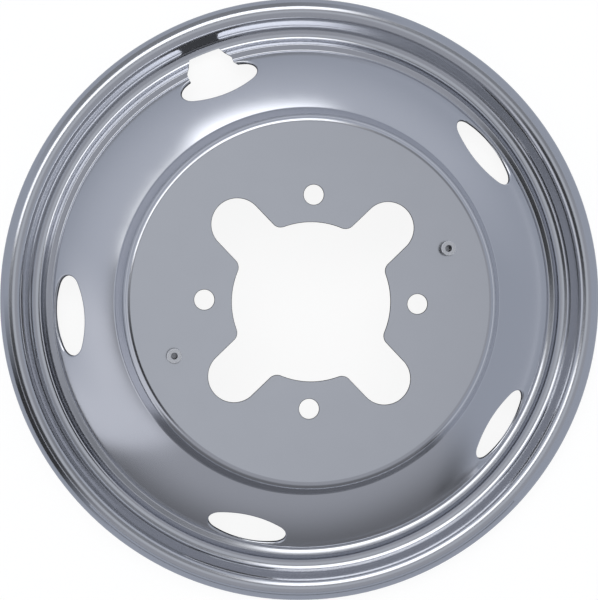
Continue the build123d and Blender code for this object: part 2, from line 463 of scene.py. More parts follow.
class Notch:
    """The valve notch, as the half angle of its two sides at each radius."""

    def __init__(self, openings, end_radius, hole_radius):
        self.lead = openings.notch_lead
        self.end = end_radius
        self.start = end_radius - openings.notch_taper
        self.wide = openings.notch_width / 2
        self.narrow = openings.notch_end_width / 2
        self.corner = openings.notch_corner
        self.taper = atan2(self.wide - self.narrow, openings.notch_taper)
        self.corner_y = self.narrow - self.corner * tan((pi / 2 - self.taper) / 2)
        self.corner_x = self.end - self.corner
        self.mouth = openings.notch_mouth
        self.mouth_x = hole_radius + openings.notch_mouth_gap + self.mouth

    def half_width(self, x, mouth_side):
        """Half width at a distance from the axis; one side opens with a rounding at the hand hole."""
        width = self.wide - np.maximum(x - self.start, 0.0) * tan(self.taper)
        round_end = self.corner_y + np.sqrt(np.maximum(self.corner**2 - (x - self.corner_x) ** 2, 0.0))
        width = np.where(x > self.corner_x + self.corner * sin(self.taper), round_end, width)
        if mouth_side:
            inside = np.clip(self.mouth_x - x, 0.0, self.mouth)
            width = width + self.mouth - np.sqrt(self.mouth**2 - inside**2)
        return width

    def half_angle(self, radius, mouth_side):
        y = self.narrow
        for _ in range(ROUNDS):
            y = self.half_width(np.sqrt(radius**2 - y**2), mouth_side)
        return np.arcsin(y / radius)

    def edges(self, radius):
        """Angles of the two sides at a radius."""
        return self.lead - self.half_angle(radius, True), self.lead + self.half_angle(radius, False)

    def overhang(self, points):
        """How far points of a sector lie inside the notch from its two sides."""
        x = points[..., 0] * cos(self.lead) + points[..., 1] * sin(self.lead)
        y = points[..., 1] * cos(self.lead) - points[..., 0] * sin(self.lead)
        return y + self.half_width(x, True), self.half_width(x, False) - y


class RimSector:
    """One sector of the rim with its hand hole, from the hem to the edge of the flat face."""

    patch_half = radians(13.5)
    side_columns = 15
    notch_columns = 8
    plain_columns = 12
    rings = 10
    bearing_steps = 720

    def __init__(self, sheet, openings, line, notched):
        self.line = line
        self.hole = HandHole(sheet, openings, line)
        end_radius = line.points[line.starts["groove"]][0]
        hole_radius = self.hole.origin[0]
        self.notch = Notch(openings, end_radius, hole_radius) if notched else None
        self.skin = Skin()
        self.half = pi / openings.hand_hole_count
        self.foot = line.starts["shoulder"]
        clear = 2 * self.hole.middle + self.hole.bend
        row = self.foot
        while self.distance(row) < clear:
            row += 1
        self.patch_top = row
        self.columns = self.column_angles()
        self.build()

    def distance(self, row):
        """How far a row of the shoulder lies from its foot."""
        normal = self.line.normals[row]
        return (self.hole.foot_slope - atan2(normal[0], normal[1])) * self.hole.radius

    def column_angles(self):
        edge = self.patch_half
        outer = np.linspace(-self.half, -edge, self.plain_columns + 1)
        left, right = self.notch_edges(self.line.starts["groove"])
        inner = np.concatenate(
            [
                np.linspace(-edge, left, self.side_columns + 1),
                np.linspace(left, right, self.notch_columns + 1)[1:],
                np.linspace(right, edge, self.side_columns + 1)[1:],
            ]
        )
        return np.concatenate([outer[:-1], inner, -outer[::-1][1:]])

    def notch_edges(self, row):
        if not self.notch:
            share = self.notch_columns / (2 * self.side_columns + self.notch_columns)
            return -self.patch_half * share, self.patch_half * share
        return self.notch.edges(self.line.points[row][0])

    def add_rows(self, rows, angles):
        """A grid over rows of the line; angles holds one row of column angles, or one for each row."""
        angles = np.broadcast_to(angles, (len(rows), np.shape(angles)[-1]))
        points = turned(self.line.points[rows, 0, None], self.line.points[rows, 1, None], angles)
        normals = turned(self.line.normals[rows, 0, None], self.line.normals[rows, 1, None], angles)
        self.skin.add_grid(points, normals)

    def build(self):
        line, columns = self.line, self.columns
        last = len(line.points) - 1
        first_inner = self.plain_columns
        last_inner = len(columns) - 1 - self.plain_columns
        inner = columns[first_inner : last_inner + 1]
        groove = line.starts["groove"]
        beside = list(range(self.foot, self.patch_top + 1))
        self.add_rows(list(range(self.patch_top, last + 1)), columns)
        self.add_rows(beside, columns[: first_inner + 1])
        self.add_rows(beside, columns[last_inner:])
        if self.notch:
            self.add_rows(list(range(groove + 1)), columns)
            rows = list(range(groove, self.foot + 1))
            edges = [self.notch_edges(row) for row in rows]
            left = [np.linspace(-self.patch_half, a, self.side_columns + 1) for a, _ in edges]
            right = [np.linspace(b, self.patch_half, self.side_columns + 1) for _, b in edges]
            self.add_rows(rows, np.array(left))
            self.add_rows(rows, np.array(right))
            self.add_rows(rows, columns[: first_inner + 1])
            self.add_rows(rows, columns[last_inner:])
            self.add_hole(right[-1], inner, left[-1])
        else:
            self.add_rows(list(range(self.foot + 1)), columns)
            middle = len(inner) // 2
            self.add_hole(inner[middle:], inner, inner[: middle + 1])

    def add_hole(self, bottom_right, top, bottom_left):
        """Rings of quads between the patch's border and the hole, and the turned edge of the hole."""
        hole, edge = self.hole, self.patch_half
        height = self.distance(self.patch_top)
        sides = np.array([self.distance(row) for row in range(self.foot, self.patch_top + 1)])
        azimuth = [bottom_right[:-1], np.full(len(sides) - 1, edge), top[::-1][:-1]]
        azimuth += [np.full(len(sides) - 1, -edge), bottom_left]
        distance = [np.zeros(len(bottom_right) - 1), sides[:-1], np.full(len(top) - 1, height)]
        distance += [sides[::-1][:-1], np.zeros(len(bottom_left))]
        azimuth, distance = np.concatenate(azimuth), np.concatenate(distance)
        bearing = np.unwrap(np.arctan2(distance / height - 0.5, azimuth / edge * 0.5))
        right_corner, left_corner = len(bottom_right) - 1, len(bearing) - len(bottom_left)
        points, normals = [], []
        for row in range(hole.rows):
            if self.notch:
                start, end = self.notch_bearings(row)
                bearing[: right_corner + 1] = np.linspace(start, bearing[right_corner], right_corner + 1)
                bearing[left_corner:] = np.linspace(bearing[left_corner], end, len(bottom_left))
            row_points, row_normals, row_distance, row_azimuth = hole.turned_edge(hole.heading_at(bearing))
            points.append(row_points[row])
            normals.append(row_normals[row])
            if row == 0:
                hole_distance, hole_azimuth = row_distance, row_azimuth
        share = np.linspace(0, 1, self.rings + 1)[:, None]
        ring_distance = distance * (1 - share) + hole_distance * share
        ring_azimuth = azimuth * (1 - share) + hole_azimuth * share
        if self.notch:
            # The columns next to the notch bend along with its two sides
            low, _ = self.notch.edges(hole.on_shoulder(ring_distance[:, -1])[0])
            _, high = self.notch.edges(hole.on_shoulder(ring_distance[:, 0])[0])
            right_fade = np.linspace(1, 0, right_corner + 1)
            left_fade = np.linspace(0, 1, len(bottom_left))
            pull = np.zeros(ring_azimuth.shape)
            pull[:, : right_corner + 1] = np.outer(high - ring_azimuth[:, 0], right_fade)
            pull[:, left_corner:] = np.outer(low - ring_azimuth[:, -1], left_fade)
            ring_azimuth = ring_azimuth + pull
        ring_points, ring_normals = hole.surface(ring_distance, ring_azimuth)
        ring_points[-1], ring_normals[-1] = points[0], normals[0]
        self.skin.add_grid(ring_points, ring_normals)
        self.skin.add_grid(np.array(points), np.array(normals))

    def notch_bearings(self, row):
        """Bearings from the hole's middle at which the notch's two sides cut a row of the turned edge."""
        bearing = np.linspace(-pi, 0, self.bearing_steps + 1)
        middle = self.bearing_steps // 2
        points, _, _, _ = self.hole.turned_edge(self.hole.heading_at(bearing))
        past_low, past_high = self.notch.overhang(points[row])
        right = np.interp(0.0, -past_high[middle:], bearing[middle:])
        left = np.interp(0.0, past_low[: middle + 1], bearing[: middle + 1])
        return right, left + 2 * pi


# Slope of the ridge's shading in degrees at shares of the way over it: foot, steep flank, crest and long fall
RIDGE_SHARES = (0.0, 0.2, 0.27, 0.66, 0.72, 1.0)
RIDGE_SLOPES = (0.0, 25.0, 55.0, 53.0, -12.0, -18.0)


def eased_normals(sector, sheet, points, normals):
    """Front normals with the slopes that reflections show on the shoulder's foot and on the ridge."""
    hole, line = sector.hole, sector.line
    radius = np.hypot(points[:, 0], points[:, 1])
    out, round_part, up = turned_parts(points, normals, -1).T
    spoke = np.stack([radius, points[:, 2]], -1) - hole.centre
    slope = np.arctan2(spoke[:, 0], spoke[:, 1])
    depth = np.maximum(hole.radius - np.linalg.norm(spoke, axis=1), 0.0)
    distance = (hole.foot_slope - slope) * hole.radius
    run = (hole.foot_slope - sheet.shoulder_top_slope) * hole.radius
    slopes = (hole.foot_slope, sheet.shoulder_ease_slope, sheet.shoulder_top_slope)
    eased = np.interp(distance, (0.0, sheet.shoulder_ease_length, run), slopes)
    share = np.where((distance > 0) & (distance < run), np.clip(1 - depth / hole.bend, 0, 1), 0)
    turn = share * (slope - eased)
    outer, inner = (line.points[line.starts[name]][0] for name in ("ridge_foot", "ridge_fall"))
    over = (outer - radius) / (outer - inner)
    ridge = np.radians(np.interp(over, RIDGE_SHARES, RIDGE_SLOPES))
    on_ridge = (over > 0) & (over < 1)
    turn = np.where(on_ridge, np.arctan2(out, up) - ridge, turn)
    c, s = np.cos(turn), np.sin(turn)
    return turned_parts(points, np.stack([out * c - up * s, round_part, out * s + up * c], axis=-1), 1)


def sector_mesh(name, sector, sheet):
    """A closed sheet from a sector's skin: front, back and the cut edges between them."""
    points, normals, quads = sector.skin.merged()
    front_normals = eased_normals(sector, sheet, points, normals)
    back = points - sheet.thickness * normals
    count = len(points)
    edges = {}
    for quad in quads:
        for a, b in zip(quad, np.roll(quad, -1)):
            key = (min(a, b), max(a, b))
            edges[key] = None if key in edges else (a, b)
    azimuth = np.arctan2(points[:, 1], points[:, 0])
    on_seam = np.abs(np.abs(azimuth) - sector.half) < SEAM_ANGLE
    inner_radius, inner_height = sector.line.points[-1]
    radius = np.hypot(points[:, 0], points[:, 1])
    on_face = (np.abs(radius - inner_radius) < TOUCH) & (np.abs(points[:, 2] - inner_height) < TOUCH)
    rims = []
    for a, b in (pair for pair in edges.values() if pair):
        if not ((on_seam[a] and on_seam[b]) or (on_face[a] and on_face[b])):
            rims.append((b, a, a + count, b + count))
    faces = [tuple(q) for q in quads] + [tuple(q[::-1] + count) for q in quads] + rims
    sides = [FRONT] * len(quads) + [BACK] * len(quads) + [CUT] * len(rims)
    all_points = np.concatenate([points, back])
    corner_normals = []
    for face, side in zip(faces, sides):
        if side == CUT:
            p, q, r = (all_points[face[i]] for i in range(3))
            flat = np.cross(q - p, r - p)
            corner_normals.extend([flat / np.linalg.norm(flat)] * len(face))
        else:
            corner_normals.extend(front_normals[i] if side == FRONT else -normals[i - count] for i in face)
    return mesh_with_normals(name, all_points, faces, sides, np.array(corner_normals))


def mesh_with_normals(name, points, faces, sides, corner_normals):
    """A mesh whose corners keep their normals as out, round and up parts, which turn with a sector."""
    mesh = bpy.data.meshes.new(name)
    mesh.from_pydata([tuple(p) for p in points], [], [tuple(int(i) for i in f) for f in faces])
    place = np.array([i for f in faces for i in f])
    parts = turned_parts(points[place], corner_normals, -1).astype(np.float32)
    mesh.attributes.new("sheet_normal", "FLOAT_VECTOR", "CORNER").data.foreach_set("vector", parts.ravel())
    mesh.attributes.new("sheet_side", "INT", "FACE").data.foreach_set("value", np.array(sides, np.int32))
    return mesh


def arc_points(centre, radius, start, end, steps):
    """Points on an arc with their directions from its centre, without the last one."""
    bearing = np.linspace(start, end, steps + 1)[:-1]
    heading = np.stack([np.cos(bearing), np.sin(bearing)], axis=-1)
    return np.asarray(centre) + radius * heading, heading


def hub_outline(openings):
    """Outline of the hub opening with its nut slots, and the way from each point into the sheet."""
    slot, ring = openings.slot_radius, openings.stud_ring_radius
    hub, corner = openings.hub_radius, openings.slot_corner
    reach, side = hub + corner, slot + corner
    along = sqrt(reach**2 - side**2)
    bearing = atan2(side, along)
    corner_steps, slot_steps, least_steps, step_degrees = 10, 36, 8, 1.5
    hub_steps = max(least_steps, round(degrees(pi / 4 - bearing) / step_degrees))
    pieces = []
    for turn in range(4):
        low, low_way = arc_points((along, -side), corner, pi - bearing, pi / 2, corner_steps)
        end, end_way = arc_points((ring, 0), slot, -pi / 2, pi / 2, slot_steps)
        high, high_way = arc_points((along, side), corner, -pi / 2, -(pi - bearing), corner_steps)
        hub_arc, hub_way = arc_points((0, 0), hub, bearing, pi / 2 - bearing, hub_steps)
        points = np.concatenate([low, end, high, hub_arc])
        ways = np.concatenate([-low_way, end_way, -high_way, hub_way])
        heading = pi / 4 + turn * pi / 2
        c, s = cos(heading), sin(heading)
        spin = np.array([[c, s], [-s, c]])
        pieces.append((points @ spin, ways @ spin))
    return np.concatenate([p for p, _ in pieces]), np.concatenate([w for _, w in pieces])


def face_mesh(name, sheet, openings, standoffs, ring_angles, ring_radius):
    """The flat face: the plane between its edge and its holes, front and back, and the punched hole edges."""
    top = FACE_HEIGHT
    outlines = [hub_outline(openings)]
    quarter_turns = [i * pi / 2 for i in range(4)]
    holes = [(openings.stud_ring_radius, a, openings.stud_hole_radius) for a in quarter_turns]
    standoff_turn = 2 * pi / standoffs.count
    for i in range(standoffs.count):
        holes.append((standoffs.ring_radius, standoffs.first + i * standoff_turn, standoffs.shank_radius))
    hole_steps = 48
    for ring, at, radius in holes:
        outlines.append(arc_points((ring * cos(at), ring * sin(at)), radius, 0, 2 * pi, hole_steps))
    points, faces, sides, normals = [], [], [], []
    ring = ring_radius * np.stack([np.cos(ring_angles), np.sin(ring_angles)], axis=-1)
    up = np.array([0.0, 0.0, 1.0])

    def add_plane(inset, height, side):
        loops = [ring] + [outline + inset * way for outline, way in outlines]
        outline_mesh = bmesh.new()
        for loop in loops:
            corners = [outline_mesh.verts.new((x, y, height)) for x, y in loop]
            for a, b in zip(corners, corners[1:] + corners[:1]):
                outline_mesh.edges.new((a, b))
        bmesh.ops.triangle_fill(outline_mesh, edges=outline_mesh.edges[:], use_beauty=True, normal=up)
        outline_mesh.verts.index_update()
        base = len(points)
        points.extend(np.array(corner.co) for corner in outline_mesh.verts)
        for face in outline_mesh.faces:
            face.normal_update()
            if (face.normal.z > 0) != (side == FRONT):
                face.normal_flip()
            faces.append(tuple(base + corner.index for corner in face.verts))
            sides.append(side)
            normals.extend([up if side == FRONT else -up] * len(face.verts))
        outline_mesh.free()

    round_radius = openings.edge_round
    add_plane(round_radius, top, FRONT)
    add_plane(0.0, top - sheet.thickness, BACK)
    round_rows = [radians(a) for a in (0, 22.5, 45, 67.5, 90)]
    for outline, way in outlines:
        count = len(outline)
        inward = np.concatenate([-way, np.zeros((count, 1))], axis=1)
        rows, row_normals, row_sides = [], [], []
        for turn in round_rows:
            flat = outline + round_radius * (1 - sin(turn)) * way
            height = np.full((count, 1), top - round_radius * (1 - cos(turn)))
            rows.append(np.concatenate([flat, height], axis=1))
            row_normals.append(up * cos(turn) + inward * sin(turn))
            row_sides.append(FRONT)
        row_sides[-1] = CUT
        rows.append(np.concatenate([outline, np.full((count, 1), top - sheet.thickness)], axis=1))
        row_normals.append(inward)
        base = len(points)
        points.extend(np.concatenate(rows))
        for r, side in enumerate(row_sides):
            for i in range(count):
                j = (i + 1) % count
                corners = ((r, i), (r + 1, i), (r + 1, j), (r, j))
                faces.append(tuple(base + row * count + at for row, at in corners))
                sides.append(side)
                normals.extend(row_normals[row][at] for row, at in corners)
    return mesh_with_normals(name, np.array(points), faces, sides, np.array(normals))


def new_object(name, mesh):
    made = bpy.data.objects.new(name, mesh)
    bpy.context.scene.collection.objects.link(made)
    return made


# Kinds of input for the values that a tree takes
SOCKETS = {int: "NodeSocketInt", float: "NodeSocketFloat", bpy.types.Object: "NodeSocketObject"}


def start_tree(name, values):
    """A Geometry Nodes tree with a named input for each value, and one geometry output."""
    tree = bpy.data.node_groups.new(name, "GeometryNodeTree")
    for label, value in values.items():
        tree.interface.new_socket(label, in_out="INPUT", socket_type=SOCKETS[type(value)])
    tree.interface.new_socket("Geometry", in_out="OUTPUT", socket_type="NodeSocketGeometry")
    return tree, add_node(tree, "NodeGroupInput").outputs


def heading_round(node, count, first):
    """Heading of each of a number of places round the wheel."""
    turn = node(MATH, (2 * pi, count), operation="DIVIDE")
    return node(MATH, (node("GeometryNodeInputIndex"), turn, first), operation="MULTIPLY_ADD")


def repeat_tree(values, materials):
    """Geometry Nodes that repeat the plain sector round the wheel, with the notched one and the face."""
    tree, given = start_tree("Rim sectors round the wheel", values)
    node = partial(add_node, tree)
    same = {"data_type": "INT", "operation": "EQUAL"}
    spin = node("ShaderNodeCombineXYZ", {"Z": heading_round(node, given["Sectors"], given["First angle"])})
    places = node("GeometryNodePoints", {"Count": given["Sectors"], "Position": (0, 0, 0)})
    index = node("GeometryNodeInputIndex")
    notched = node("FunctionNodeCompare", {2: index, 3: given["Notched place"]}, **same)
    plain = node("FunctionNodeBooleanMath", (notched,), operation="NOT")
    parts = node("GeometryNodeJoinGeometry")
    for name, chosen in (("Plain sector", plain), ("Notched sector", notched)):
        source = node("GeometryNodeObjectInfo", {"Object": given[name]}).outputs["Geometry"]
        placed = node(
            "GeometryNodeInstanceOnPoints",
            {"Points": places, "Selection": chosen, "Instance": source, "Rotation": spin},
        )
        tree.links.new(placed.outputs[0], parts.inputs[0])
    face = node("GeometryNodeObjectInfo", {"Object": given["Flat face"]}).outputs["Geometry"]
    tree.links.new(face, parts.inputs[0])
    real = node("GeometryNodeRealizeInstances", (parts,))
    shape = node("GeometryNodeMergeByDistance", {"Geometry": real, "Distance": given["Weld distance"]})
    side = node("GeometryNodeInputNamedAttribute", {"Name": "sheet_side"}, data_type="INT")
    for number, material in enumerate(materials):
        chosen = node("FunctionNodeCompare", {2: side, 3: number}, **same)
        shape = node(SET_MATERIAL, {"Geometry": shape, "Selection": chosen, "Material": material})
    node("NodeGroupOutput", (shape,))
    return tree


def evaluate_tree(name, tree, values):
    """A plain mesh object from a tree and values for its named inputs."""
    holder = new_object(name, bpy.data.meshes.new(name))
    modifier = holder.modifiers.new("Shape", "NODES")
    modifier.node_group = tree
    for item in tree.interface.items_tree:
        if item.in_out == "INPUT" and item.name in values:
            modifier[item.identifier] = values[item.name]
    bpy.context.view_layer.update()
    shaped = holder.evaluated_get(bpy.context.evaluated_depsgraph_get())
    mesh = bpy.data.meshes.new_from_object(shaped)
    holder.modifiers.remove(modifier)
    holder.data = mesh
    mesh.name = name
    return holder


def set_sheet_normals(mesh):
    """Turns the kept corner normals into the mesh's own, so that reflections follow the true surface."""
    parts = np.zeros(len(mesh.loops) * 3, np.float32)
    mesh.attributes["sheet_normal"].data.foreach_get("vector", parts)
    place = np.zeros(len(mesh.loops), np.int32)
    mesh.loops.foreach_get("vertex_index", place)
    points = np.zeros(len(mesh.vertices) * 3, np.float32)
    mesh.vertices.foreach_get("co", points)
    normals = turned_parts(points.reshape(-1, 3)[place], parts.reshape(-1, 3), 1)
    mesh.shade_smooth()
    mesh.normals_split_custom_set(normals.tolist())
    for name in ("sheet_normal", "sheet_side"):
        mesh.attributes.remove(mesh.attributes[name])


def start_material(name):
    """A material with an empty tree, and the function that adds nodes to it."""
    material = bpy.data.materials.new(name)
    material.use_nodes = True
    material.node_tree.nodes.clear()
    return material, partial(add_node, material.node_tree)


def uneven(node, place, grain, detail, least, most):
    """Roughness between two levels, in clouds of a grain size."""
    clouds = node(NOISE, {"Vector": place, "Scale": 1 / grain, "Detail": detail})
    return node(MAP_RANGE, {0: clouds, 3: least, 4: most})


def end_metal(node, tint, rough, **more):
    """The metal itself, as the surface of a material."""
    inputs = {"Base Color": tint, "Metallic": 1.0, "Roughness": rough, **more}
    node("ShaderNodeOutputMaterial", {"Surface": node("ShaderNodeBsdfPrincipled", inputs)})


def polished_stainless(finish):
    """Stainless steel buffed to a mirror: clear reflections, a little haze where the buff went round."""
    material, node = start_material("Mirror-polished stainless steel")
    place = node("ShaderNodeTexCoord").outputs["Object"]
    rough = uneven(node, place, grain=18 * MM, detail=4.0, least=0.12, most=0.19)
    # Soft waves as wide as the strokes of the buff
    waves = node(NOISE, {"Vector": place, "Scale": 1 / (55 * MM), "Detail": 1.0})
    bump = node("ShaderNodeBump", {"Strength": 0.03, "Distance": 1 * MM, "Height": waves})
    end_metal(node, (*finish.polished, 1), rough, Normal=bump)
    return material


def mill_stainless(finish):
    """Back of the sheet as it came from the mill: dull, with fine rolling lines along one way."""
    material, node = start_material("Mill-finish stainless steel")
    place = node("ShaderNodeTexCoord").outputs["Object"]
    # Real rolling lines are under 0.1 mm wide, and are drawn coarser here so that they show
    line_width, line_length = 1.2 * MM, 60 * MM
    scale = (1 / line_length, 1 / line_width, 1 / line_length)
    along = node("ShaderNodeMapping", {"Vector": place, "Scale": scale})
    rough = uneven(node, along, grain=1.0, detail=3.0, least=0.26, most=0.42)
    end_metal(node, (*finish.mill, 1), rough)
    return material


def sheared_stainless(finish):
    """Cut edge of the sheet: torn and dull, darker than either face."""
    material, node = start_material("Sheared stainless edge")
    place = node("ShaderNodeTexCoord").outputs["Object"]
    rough = uneven(node, place, grain=0.8 * MM, detail=2.0, least=0.3, most=0.5)
    end_metal(node, (*finish.sheared, 1), rough)
    return material


def zinc_steel(name, finish, shade_tint):
    """Turned steel under zinc plate: pale and cloudy on top, with painted shade as a darker tint further
    down.
    """
    material, node = start_material(name)
    place = node("ShaderNodeTexCoord").outputs["Object"]
    rough = uneven(node, place, grain=3 * MM, detail=3.0, least=0.18, most=0.36)
    height = node("ShaderNodeSeparateXYZ", (place,)).outputs["Z"]
    # Under this height the tint is painted shade, which fades into the zinc towards the top
    shade_below, unshaded_from = STANDOFF_TOP - 1.2 * MM, STANDOFF_TOP - 0.4 * MM
    unshaded = node(MAP_RANGE, (height, shade_below, unshaded_from))
    tints = {0: unshaded, 6: (*shade_tint, 1), 7: (*finish.zinc, 1)}
    end_metal(node, node(MIX, tints, data_type="RGBA").outputs[2], rough)
    return material


class WHEELCOVER_OT_liner(bpy.types.Operator):
    """Build the pressed and polished wheel liner"""

    bl_idname = "wheel_cover.liner"
    bl_label = "Build Liner"

    def execute(self, context):
        cover = context.scene.wheel_cover
        sheet, openings, finish = cover.sheet, cover.openings, cover.finish
        line = FrontLine(sheet)
        plain = RimSector(sheet, openings, line, notched=False)
        notched = RimSector(sheet, openings, line, notched=True)
        turn = 2 * pi / openings.hand_hole_count
        ring_angles = []
        for i in range(openings.hand_hole_count):
            sector = notched if i == openings.notch_index else plain
            ring_angles.extend(sector.columns[:-1] + openings.hand_hole_first + i * turn)
        face_radius = line.points[-1][0]
        face = face_mesh("face", sheet, openings, cover.standoffs, np.array(ring_angles), face_radius)
        sources = {
            "Plain sector": new_object("plain_sector", sector_mesh("plain_sector", plain, sheet)),
            "Notched sector": new_object("notched_sector", sector_mesh("notched_sector", notched, sheet)),
            "Flat face": new_object("flat_face", face),
        }
        values = {
            **sources,
            "Sectors": openings.hand_hole_count,
            "First angle": openings.hand_hole_first,
            "Notched place": openings.notch_index,
            "Weld distance": WELD_DISTANCE,
        }
        materials = [polished_stainless(finish), mill_stainless(finish), sheared_stainless(finish)]
        liner = evaluate_tree("polished_liner", repeat_tree(values, materials), values)
        for source in sources.values():
            bpy.data.objects.remove(source)
        set_sheet_normals(liner.data)
        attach(liner, "root")
        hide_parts("wheel_liner")
        return {"FINISHED"}


def standoff_tree(values, outside, inside):
    """Geometry Nodes for one threaded standoff, repeated round a ring on the flat face."""
    tree, given = start_tree("Threaded standoffs on a ring", values)
    node = partial(add_node, tree)
    height, bore, pitch = given["Height"], given["Bore radius"], given["Thread pitch"]
    thread_depth, thickness = given["Thread depth"], given["Sheet thickness"]
    # Shares of the bore's radius, of the thread's depth and of its pitch
    bore_reach, thread_sink, thread_start = 1.04, 0.7, 0.4

    def lifted(geometry, rise):
        up = node("ShaderNodeCombineXYZ", {"Z": rise})
        return node("GeometryNodeTransform", {"Geometry": geometry, "Translation": up})

    # Barrel: a square wall section with cut corners, swept round the bore
    wall = node(MATH, (given["Radius"], bore), operation="SUBTRACT")
    mean = node(MATH, (wall, 0.5, bore), operation="MULTIPLY_ADD")
    section = node("GeometryNodeCurvePrimitiveQuadrilateral", {"Width": wall, "Height": height})
    corners = {"Curve": section, "Radius": given["Edge"], "Count": 1}
    cut = node("GeometryNodeFilletCurve", corners, mode="POLY")
    path = node("GeometryNodeCurvePrimitiveCircle", {"Resolution": 64, "Radius": mean})
    barrel = node("GeometryNodeCurveToMesh", {"Curve": path, "Profile Curve": cut})
    barrel = lifted(barrel, node(MATH, (height, 0.5), operation="MULTIPLY"))
    place = node("GeometryNodeInputPosition")
    flat = node("ShaderNodeVectorMath", (place, (1, 1, 0)), operation="MULTIPLY")
    reach = node("ShaderNodeVectorMath", (flat,), operation="LENGTH").outputs["Value"]
    near_bore = node(MATH, (bore, bore_reach), operation="MULTIPLY")
    in_bore = node(MATH, (reach, near_bore), operation="LESS_THAN")

    # Shank through the sheet, which also closes the bottom of the bore
    bottom = node(MATH, (height, given["Bore depth"]), operation="SUBTRACT")
    shank_height = node(MATH, (thickness, bottom), operation="ADD")
    shank_sizes = {"Vertices": 48, "Radius": given["Shank radius"], "Depth": shank_height}
    half = node(MATH, (shank_height, 0.5), operation="MULTIPLY")
    rise = node(MATH, (half, thickness), operation="SUBTRACT")
    shank = lifted(node("GeometryNodeMeshCylinder", shank_sizes), rise)

    # Thread: a ridge that winds down the bore, mostly sunk in its wall
    turns = node(MATH, (height, pitch), operation="DIVIDE")
    turns = node(MATH, (turns, 1.0), operation="SUBTRACT")
    thread_radius = node(MATH, (thread_depth, thread_sink, bore), operation="MULTIPLY_ADD")
    winding = {
        "Resolution": 32,
        "Rotations": turns,
        "Start Radius": thread_radius,
        "End Radius": thread_radius,
        "Height": node(MATH, (turns, pitch), operation="MULTIPLY"),
    }
    helix = node("GeometryNodeCurveSpiral", winding)
    ridge = node("GeometryNodeCurvePrimitiveCircle", {"Resolution": 6, "Radius": thread_depth})
    thread = node("GeometryNodeCurveToMesh", {"Curve": helix, "Profile Curve": ridge, "Fill Caps": True})
    thread = lifted(thread, node(MATH, (pitch, thread_start), operation="MULTIPLY"))

    parts = node("GeometryNodeJoinGeometry")
    # Painted shade below the top, on the barrel's sides and down the bore
    barrel = node(SET_MATERIAL, {"Geometry": barrel, "Material": outside})
    for part, chosen in ((barrel, in_bore), (shank, True), (thread, True)):
        part = node(SET_MATERIAL, {"Geometry": part, "Selection": chosen, "Material": inside})
        tree.links.new(part.outputs[0], parts.inputs[0])

    # Places on the ring
    heading = heading_round(node, given["Count"], given["First angle"])
    at = {"Z": given["Base height"]}
    for axis, operation in (("X", "COSINE"), ("Y", "SINE")):
        share = node(MATH, (heading,), operation=operation)
        at[axis] = node(MATH, (share, given["Ring radius"]), operation="MULTIPLY")
    places = {"Count": given["Count"], "Position": node("ShaderNodeCombineXYZ", at)}
    spin = node("ShaderNodeCombineXYZ", {"Z": heading})
    points = node("GeometryNodePoints", places)
    placed = node("GeometryNodeInstanceOnPoints", {"Points": points, "Instance": parts, "Rotation": spin})
    node("NodeGroupOutput", (node("GeometryNodeRealizeInstances", (placed,)),))
    return tree


class WHEELCOVER_OT_standoffs(bpy.types.Operator):
    """Build the threaded standoffs that hold a hub cap"""

    bl_idname = "wheel_cover.standoffs"
    bl_label = "Build Standoffs"

    def execute(self, context):
        cover = context.scene.wheel_cover
        sizes, finish = cover.standoffs, cover.finish
        labels = sizes.bl_rna.properties
        values = {labels[name].name: getattr(sizes, name) for name in own_names(sizes)}
        values["Base height"] = FACE_HEIGHT
        values["Height"] = STANDOFF_TOP - FACE_HEIGHT
        values["Sheet thickness"] = cover.sheet.thickness
        # Both materials paint shade below the standoffs' tops: on their sides and down their bores
        outside = zinc_steel("Zinc-plated turned steel", finish, finish.paste)
        inside = zinc_steel("Turned steel with painted bore shade", finish, finish.thread)
        pair = evaluate_tree("zinc_standoffs", standoff_tree(values, outside, inside), values)
        pair.data.shade_smooth()
        pair.data.set_sharp_from_angle(angle=SHARP_ANGLE)
        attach(pair, "root")
        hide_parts("cap_standoffs")
        return {"FINISHED"}


def white_board(studio):
    """Matt white board that stays white to the eye and in the metal, and keeps the cover's shadow."""
    glow_level, shadow_level = 0.9, 0.2
    material, node = start_material("Matt white board")
    matt = node("ShaderNodeBsdfDiffuse", {"Color": (*studio.floor_white, 1)})
    faint_white = [shadow_level * part for part in studio.floor_white]
    faint = node("ShaderNodeBsdfDiffuse", {"Color": (*faint_white, 1)})
    glow = node("ShaderNodeEmission", {"Color": (1, 1, 1, 1), "Strength": glow_level})
    lit = node("ShaderNodeAddShader", (faint, glow))
    ray = node("ShaderNodeLightPath").outputs
    seen = ray["Is Camera Ray"]
    for kind in ("Is Glossy Ray", "Is Transmission Ray"):
        seen = node(MATH, (seen, ray[kind]), operation="MAXIMUM")
    node("ShaderNodeOutputMaterial", {"Surface": node("ShaderNodeMixShader", (seen, matt, lit))})
    return material


def turn_of(node, way):
    """Azimuth of a direction in degrees."""
    parts = node("ShaderNodeSeparateXYZ", (way,)).outputs
    turn = node(MATH, (parts["Y"], parts["X"]), operation="ARCTAN2")
    turn = node(MATH, (turn, 2 * pi), operation="FLOORED_MODULO")
    return node(MATH, (turn, 180 / pi), operation="MULTIPLY")


def round_room(node, azimuth, stops):
    """Colours round the room, as stops of azimuth and colour."""
    ramp = node("ShaderNodeValToRGB", (node(MATH, (azimuth, 360.0), operation="DIVIDE"),))
    elements = ramp.color_ramp.elements
    while len(elements) < len(stops):
        elements.new(0.5)
    for element, (at, tint) in zip(elements, stops):
        element.position = at / 360.0
        element.color = (*tint, 1)
    return ramp


def lower_walls(studio):
    """Stops of the lower walls: lit on the left, dark at the near end."""
    grey, pale, dark = studio.wall_grey, studio.wall_pale, studio.wall_dark
    left = ((0, grey), (190, grey), (208, pale), (219, pale))
    return (*left, (224, dark), (309, dark), (313, studio.drape), (317, dark), (322, grey), (359, grey))


